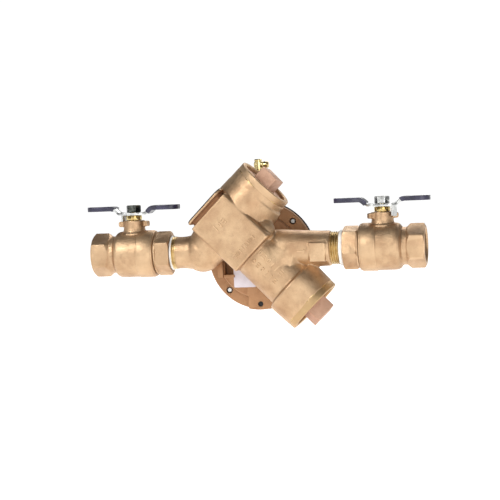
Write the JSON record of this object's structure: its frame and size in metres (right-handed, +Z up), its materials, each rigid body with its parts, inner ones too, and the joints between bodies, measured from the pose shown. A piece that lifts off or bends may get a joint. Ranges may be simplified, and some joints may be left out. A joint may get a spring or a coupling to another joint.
{
  "type": "backflow preventer",
  "caption": "Reduced-pressure backflow preventer with two spring-loaded check valves at right angles, a diaphragm relief valve, test cocks and a ball valve at each end.",
  "frame": {"origin": "centre of the inlet end face, on the pipe axis", "axes": "+X along the pipe in the flow direction, +Z up, -Y is the front, +Y the side with the relief valve cover and test cocks"},
  "size_m": [0.3402, 0.098, 0.1658],
  "materials": {
    "cast_bronze": "sand-cast bronze, tumbled, with turned bands at the machined ends",
    "brass": "turned bright brass",
    "zinc_plated_steel": "zinc plated, slightly dull",
    "spring_steel": "drawn stainless wire",
    "chrome": "polished chrome plate",
    "rubber": "matte black elastomer",
    "vinyl": "dipped vinyl, dark blue-violet, soft sheen",
    "ptfe": "white PTFE",
    "moulded_plastic": "moulded, dark grey",
    "label": "blank plate, pale grey"
  },
  "bodies": {
    "valve_assembly": {"body_casting": "cast_bronze", "first_check_cap": "cast_bronze", "second_check_cap": "cast_bronze", "relief_cover": "cast_bronze", "inlet_valve_body": "cast_bronze", "outlet_valve_body": "cast_bronze", "inlet_valve_retainer": "cast_bronze", "outlet_valve_retainer": "cast_bronze", "first_check_cap_oring": "rubber", "second_check_cap_oring": "rubber", "relief_diaphragm": "rubber", "first_check_seat": "moulded_plastic", "second_check_seat": "moulded_plastic", "relief_seat": "moulded_plastic", "first_check_spring": "spring_steel", "second_check_spring": "spring_steel", "relief_spring": "spring_steel", "inlet_packing_nut": "brass", "outlet_packing_nut": "brass", "test_cock_1_body": "brass", "test_cock_2_body": "brass", "test_cock_3_body": "brass", "test_cock_4_body": "brass", "cover_bolt_1": "zinc_plated_steel", "cover_bolt_2": "zinc_plated_steel", "cover_bolt_3": "zinc_plated_steel", "cover_bolt_4": "zinc_plated_steel", "cover_bolt_5": "zinc_plated_steel", "cover_bolt_6": "zinc_plated_steel", "cover_bolt_7": "zinc_plated_steel", "cover_bolt_8": "zinc_plated_steel", "inlet_valve_seat_outer": "ptfe", "inlet_valve_seat_inner": "ptfe", "outlet_valve_seat_outer": "ptfe", "outlet_valve_seat_inner": "ptfe", "inlet_thread_tape": "ptfe", "outlet_thread_tape": "ptfe"},
    "first_check": {"first_check_poppet": "moulded_plastic", "first_check_seal_disc": "rubber"},
    "second_check": {"second_check_poppet": "moulded_plastic", "second_check_seal_disc": "rubber"},
    "relief_stem": {"relief_stem": "spring_steel", "relief_piston": "brass", "relief_seal_disc": "rubber"},
    "inlet_handle": {"inlet_valve_ball": "chrome", "inlet_valve_stem": "brass", "inlet_handle": "zinc_plated_steel", "inlet_grip_outer": "vinyl", "inlet_grip_inner": "vinyl", "inlet_handle_nut": "zinc_plated_steel"},
    "outlet_handle": {"outlet_valve_ball": "chrome", "outlet_valve_stem": "brass", "outlet_handle": "zinc_plated_steel", "outlet_grip_outer": "vinyl", "outlet_grip_inner": "vinyl", "outlet_handle_nut": "zinc_plated_steel"},
    "cock_1": {"test_cock_1_stem": "brass"},
    "cock_2": {"test_cock_2_stem": "brass"},
    "cock_3": {"test_cock_3_stem": "brass"},
    "cock_4": {"test_cock_4_stem": "brass"}
  },
  "joints": [
    {"name": "first_check_lift", "type": "slide", "parent": "valve_assembly", "child": "first_check", "axis": [0.7071, 0, 0.7071], "range_m": [0, 0.009], "stiffness_N_per_m": 900, "springref_m": -0.012, "deforming": ["first_check_spring"]},
    {"name": "second_check_lift", "type": "slide", "parent": "valve_assembly", "child": "second_check", "axis": [0.7071, 0, -0.7071], "range_m": [0, 0.009], "stiffness_N_per_m": 500, "springref_m": -0.012, "deforming": ["second_check_spring"]},
    {"name": "relief_close", "type": "slide", "parent": "valve_assembly", "child": "relief_stem", "axis": [0, -1, 0], "range_m": [0, 0.0075], "stiffness_N_per_m": 1500, "springref_m": -0.006, "deforming": ["relief_spring", "relief_diaphragm"]},
    {"name": "inlet_shutoff_turn", "type": "hinge", "parent": "valve_assembly", "child": "inlet_handle", "pos_m": [0.0412, 0, 0.03], "axis": [0, 0, -1], "range_deg": [0, 90]},
    {"name": "outlet_shutoff_turn", "type": "hinge", "parent": "valve_assembly", "child": "outlet_handle", "pos_m": [0.2888, 0, 0.03], "axis": [0, 0, -1], "range_deg": [0, 90]},
    {"name": "test_cock_1_turn", "type": "hinge", "parent": "valve_assembly", "child": "cock_1", "pos_m": [0.0472, 0.04, 0], "axis": [1, 0, 0], "range_deg": [0, 90]},
    {"name": "test_cock_2_turn", "type": "hinge", "parent": "valve_assembly", "child": "cock_2", "pos_m": [0.104, 0.0365, 0], "axis": [-1, 0, 0], "range_deg": [0, 90]},
    {"name": "test_cock_3_turn", "type": "hinge", "parent": "valve_assembly", "child": "cock_3", "pos_m": [0.1623, 0.0325, 0.0835], "axis": [1, 0, 0], "range_deg": [0, 90]},
    {"name": "test_cock_4_turn", "type": "hinge", "parent": "valve_assembly", "child": "cock_4", "pos_m": [0.226, 0.0365, 0], "axis": [1, 0, 0], "range_deg": [0, 90]}
  ]
}
